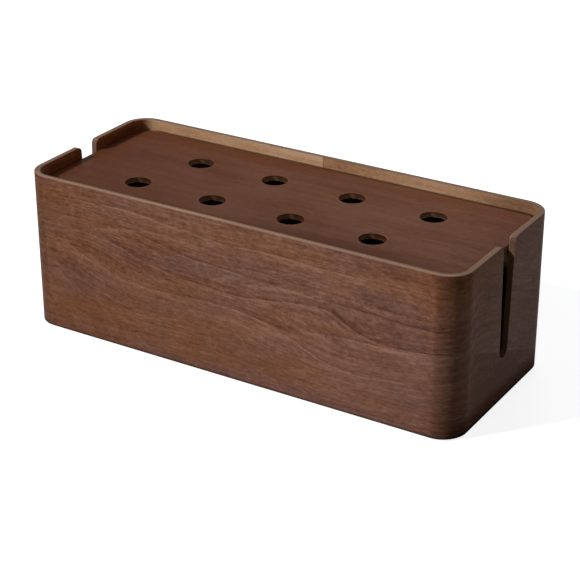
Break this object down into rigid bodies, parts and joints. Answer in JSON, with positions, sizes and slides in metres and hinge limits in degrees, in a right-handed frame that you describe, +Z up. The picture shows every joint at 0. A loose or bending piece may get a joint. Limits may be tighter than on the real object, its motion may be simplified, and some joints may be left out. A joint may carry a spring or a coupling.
{
  "type": "cable management box",
  "caption": "Long walnut-veneered box with rounded corners, a tapered cable slot in each end and a drilled lift-off lid set below the rim, for hiding a power strip.",
  "frame": {"origin": "centre of the footprint, on the floor under the feet", "axes": "+X along the box, from the left end to the right end; -Y is the front; +Z up, out of the open rim"},
  "size_m": [0.4, 0.162, 0.137],
  "materials": {
    "moulded_ply_left": "satin oiled walnut face, ply layers on the cut edges",
    "moulded_ply_right": "satin oiled walnut face, ply layers on the cut edges",
    "outer_walnut_veneer": "satin walnut veneer, grain running round the box",
    "lid_walnut": "satin walnut veneer, grain running along the lid",
    "base_ply": "plain dark veneered ply",
    "ledge_wood": "plain planed hardwood",
    "foot_rubber": "matt black rubber"
  },
  "bodies": {
    "box": {"left_wall_half": "moulded_ply_left", "right_wall_half": "moulded_ply_right", "outer_veneer": "outer_walnut_veneer", "base_panel": "base_ply", "front_lid_ledge": "ledge_wood", "back_lid_ledge": "ledge_wood", "foot_front_left": "foot_rubber", "foot_front_right": "foot_rubber", "foot_back_left": "foot_rubber", "foot_back_right": "foot_rubber"},
    "lid": {"lid_panel": "lid_walnut"}
  },
  "joints": [
    {"name": "lid_lift", "type": "slide", "parent": "box", "child": "lid", "axis": [0, 0, 1], "range_m": [0, 0.12]}
  ]
}
